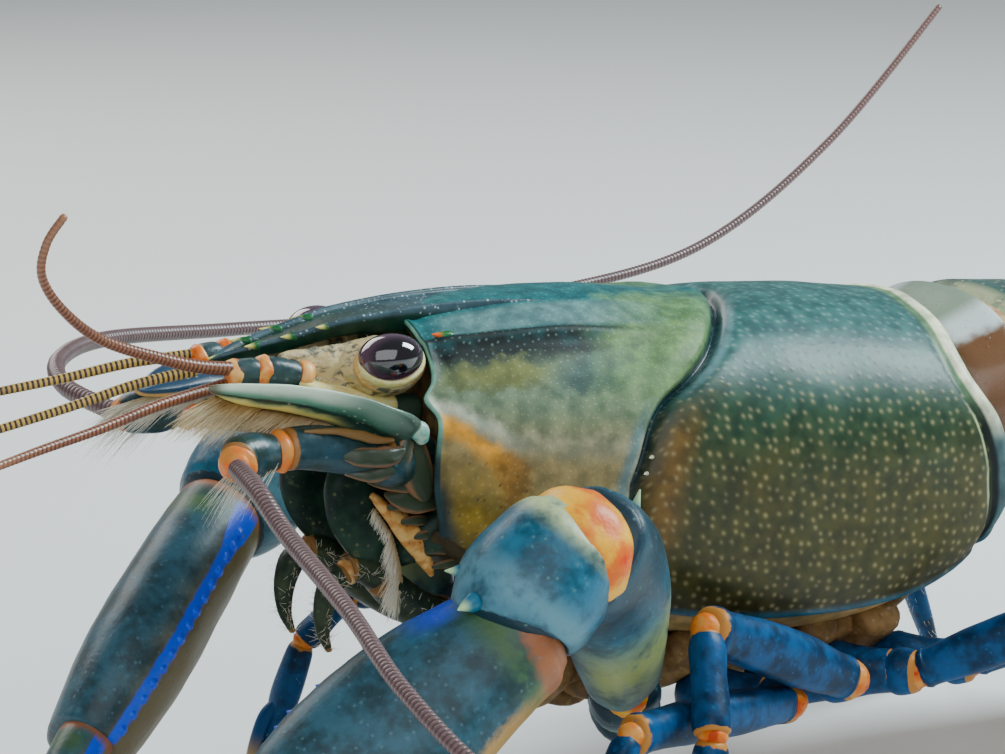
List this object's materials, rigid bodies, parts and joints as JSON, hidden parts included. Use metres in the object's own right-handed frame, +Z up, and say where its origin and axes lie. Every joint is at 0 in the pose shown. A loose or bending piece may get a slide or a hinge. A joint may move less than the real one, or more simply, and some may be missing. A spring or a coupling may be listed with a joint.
{
  "type": "freshwater crayfish",
  "caption": "Still, life-size freshwater crayfish that stands on its legs, claw tips and tail fan, with long feelers and a ringed abdomen.",
  "frame": {"origin": "middle of the bounding box in X and Y, at the floor", "axes": "the head points along -X, the animal's left side is -Y, and +Z is up from the floor"},
  "size_m": [0.1196, 0.0956, 0.0459],
  "materials": {
    "shell": "smooth hard shell, teal to olive with pale dots",
    "limb": "smooth hard shell, deep blue",
    "joint": "soft joint skin, orange",
    "cream": "pale soft skin",
    "eye": "wet black-violet cornea",
    "feeler": "ringed brown feeler",
    "underside": "dull olive belly plates"
  },
  "bodies": {
    "root": {"carapace": "shell", "thorax_underside": "underside", "mouthparts": "shell", "maxilliped_left": "joint", "maxilliped_right": "joint", "eyestalk_left": "cream", "eyestalk_right": "cream", "eye_left": "eye", "eye_right": "eye", "antennule_left": "cream", "antennule_right": "cream", "antennule_whip_outer_left": "feeler", "antennule_whip_inner_left": "feeler", "antennule_whip_outer_right": "feeler", "antennule_whip_inner_right": "feeler", "antenna_left": "limb", "antenna_right": "limb", "antennal_scale_left": "shell", "antennal_scale_right": "shell", "antenna_whip_left_base": "feeler", "antenna_whip_left_middle": "feeler", "antenna_whip_left_end": "feeler", "antenna_whip_right_base": "feeler", "antenna_whip_right_middle": "feeler", "antenna_whip_right_end": "feeler", "cheliped_left_base": "limb", "cheliped_left_merus": "limb", "cheliped_left_carpus": "limb", "cheliped_left_palm": "limb", "cheliped_left_finger": "limb", "cheliped_right_base": "limb", "cheliped_right_merus": "limb", "cheliped_right_carpus": "limb", "cheliped_right_palm": "limb", "cheliped_right_finger": "limb", "leg_2_left_upper": "limb", "leg_2_left_lower": "limb", "leg_3_left_upper": "limb", "leg_3_left_lower": "limb", "leg_4_left_upper": "limb", "leg_4_left_lower": "limb", "leg_5_left_upper": "limb", "leg_5_left_lower": "limb", "leg_2_right_upper": "limb", "leg_2_right_lower": "limb", "leg_3_right_upper": "limb", "leg_3_right_lower": "limb", "leg_4_right_upper": "limb", "leg_4_right_lower": "limb", "leg_5_right_upper": "limb", "leg_5_right_lower": "limb", "abdomen_1": "shell", "abdomen_2": "shell", "abdomen_3": "shell", "abdomen_4": "shell", "abdomen_5": "shell", "abdomen_6": "shell", "telson": "shell", "uropod_left": "shell", "uropod_right": "shell"}
  },
  "joints": []
}
